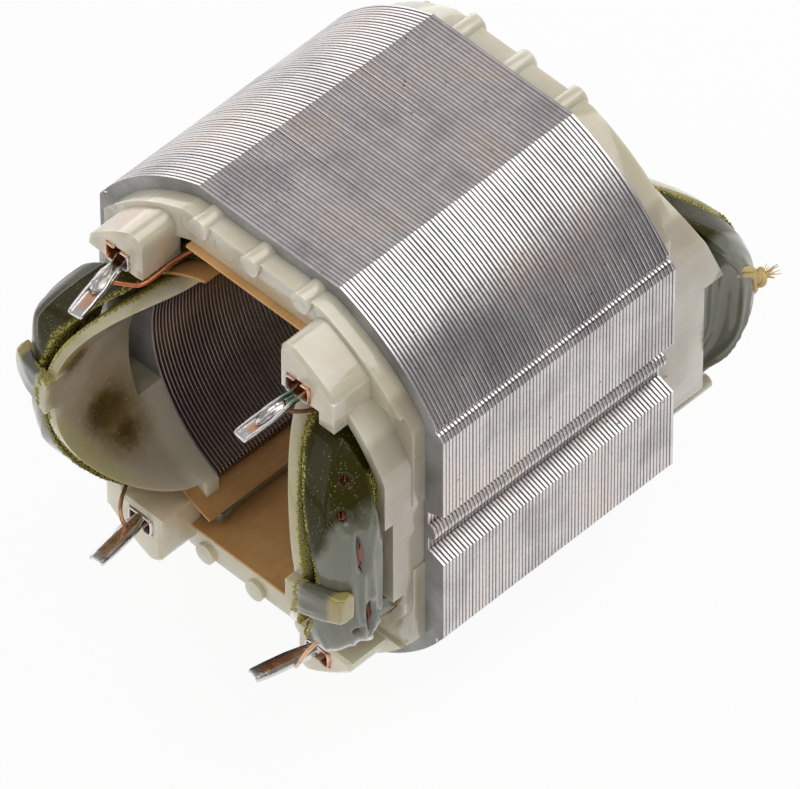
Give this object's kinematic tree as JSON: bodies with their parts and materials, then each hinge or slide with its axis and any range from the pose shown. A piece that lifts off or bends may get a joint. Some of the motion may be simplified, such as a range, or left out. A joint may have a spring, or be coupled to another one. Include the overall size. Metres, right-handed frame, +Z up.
{
  "type": "wound stator",
  "caption": "Wound stator of a small two-pole universal motor: laminated steel stack, moulded end frames, varnished saddle coils and soldered terminal clips round an open rotor bore.",
  "frame": {"origin": "on the rotor bore axis at the middle of the lamination stack", "axes": "+Y along the bore away from the terminal end, +Z up through the middle of the top flat, +X across the poles"},
  "size_m": [0.051, 0.0698, 0.0558],
  "materials": {
    "stack_steel": "cut edges of stamped electrical steel sheets, bare, with fine sheet lines",
    "frame_nylon": "milky, slightly translucent moulded nylon",
    "coil_varnish": "thick glossy olive-green varnish over the winding",
    "slot_paper": "brown pressed insulation board",
    "clip_copper": "bare copper strip, tinned at the cut edges",
    "solder_tin": "shiny uneven solder",
    "copper_wire": "enamelled copper magnet wire",
    "red_enamel": "red-brown enamel on magnet wire",
    "lacing_cord": "yellow twisted lacing cord stiffened with varnish"
  },
  "bodies": {
    "root": {"lamination_stack": "stack_steel", "front_end_frame": "frame_nylon", "rear_end_frame": "frame_nylon", "right_field_coil": "coil_varnish", "left_field_coil": "coil_varnish", "top_slot_liner": "slot_paper", "bottom_slot_liner": "slot_paper", "right_coil_lacing": "lacing_cord", "left_coil_lacing": "lacing_cord", "top_right_closing_strip": "slot_paper", "top_right_terminal_clip": "clip_copper", "top_right_lead_wire": "copper_wire", "top_right_solder_joint": "solder_tin", "top_left_closing_strip": "slot_paper", "top_left_terminal_clip": "clip_copper", "top_left_lead_wire": "red_enamel", "top_left_solder_joint": "solder_tin", "bottom_left_closing_strip": "slot_paper", "bottom_left_terminal_clip": "clip_copper", "bottom_left_lead_wire": "copper_wire", "bottom_left_solder_joint": "solder_tin", "bottom_right_closing_strip": "slot_paper", "bottom_right_terminal_clip": "clip_copper", "bottom_right_lead_wire": "copper_wire", "bottom_right_solder_joint": "solder_tin"}
  },
  "joints": []
}
